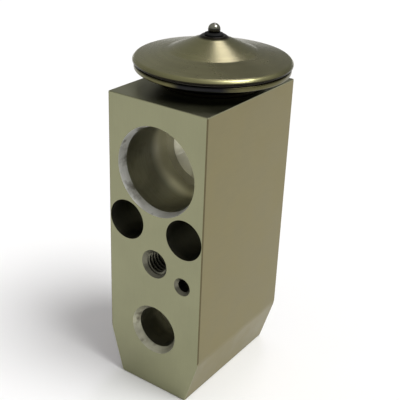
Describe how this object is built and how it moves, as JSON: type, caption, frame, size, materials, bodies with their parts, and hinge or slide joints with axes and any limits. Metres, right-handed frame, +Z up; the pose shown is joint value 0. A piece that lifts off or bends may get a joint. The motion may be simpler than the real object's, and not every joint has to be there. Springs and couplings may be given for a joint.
{
  "type": "block-type thermostatic expansion valve",
  "caption": "Aluminium block expansion valve with through ports, two clamp bolt holes and a round stainless power element on top.",
  "frame": {"origin": "on the valve axis, in the plane of the block's bottom face", "axes": "+Z up the valve axis towards the power element; -Y out of the front port face with the large suction port and the stud hole; X across that face"},
  "size_m": [0.0354, 0.0377, 0.085],
  "materials": {
    "block_aluminium": "satin, fine machined lay",
    "head_stainless": "turned stainless steel",
    "rod_aluminium": "turned",
    "bright_steel": "polished steel",
    "spring_steel": "bright spring steel",
    "brass": "turned brass",
    "black_rubber": "matt",
    "dark_sealant": "dark sealing compound"
  },
  "bodies": {
    "block": {"valve_block": "block_aluminium", "power_element_base": "head_stainless", "power_element_cap": "head_stainless", "power_element_seal": "black_rubber", "diaphragm": "spring_steel", "charge_plug_ball": "bright_steel", "plug_seal_bead": "dark_sealant", "rod_seal": "black_rubber", "rod_seal_retainer": "spring_steel", "pin_guide_bush": "brass", "orifice_seat": "bright_steel"},
    "valve_stem": {"diaphragm_pad": "brass", "sensing_rod": "rod_aluminium", "push_pin": "bright_steel", "valve_ball": "bright_steel", "ball_carrier": "brass", "vibration_damper": "spring_steel"},
    "screw_feed": {"adjusting_screw_seal": "black_rubber", "superheat_spring": "spring_steel"},
    "screw": {"adjusting_screw": "brass"}
  },
  "joints": [
    {"name": "valve_stroke", "type": "slide", "parent": "block", "child": "valve_stem", "axis": [0, 0, -1], "range_m": [0, 0.0008], "stiffness_N_per_m": 5200, "deforming": ["superheat_spring", "diaphragm"]},
    {"name": "screw_advance", "type": "slide", "parent": "block", "child": "screw_feed", "axis": [0, 0, 1], "range_m": [-0.001, 0.001], "deforming": ["superheat_spring"]},
    {"name": "screw_turn", "type": "hinge", "parent": "screw_feed", "child": "screw", "pos_m": [0, 0, 0.0018], "axis": [0, 0, 1], "range_deg": [-360, 360]}
  ],
  "couplings": [
    {"joint": "screw_turn", "follows": "screw_advance", "rad_per_m": 6283.2}
  ]
}
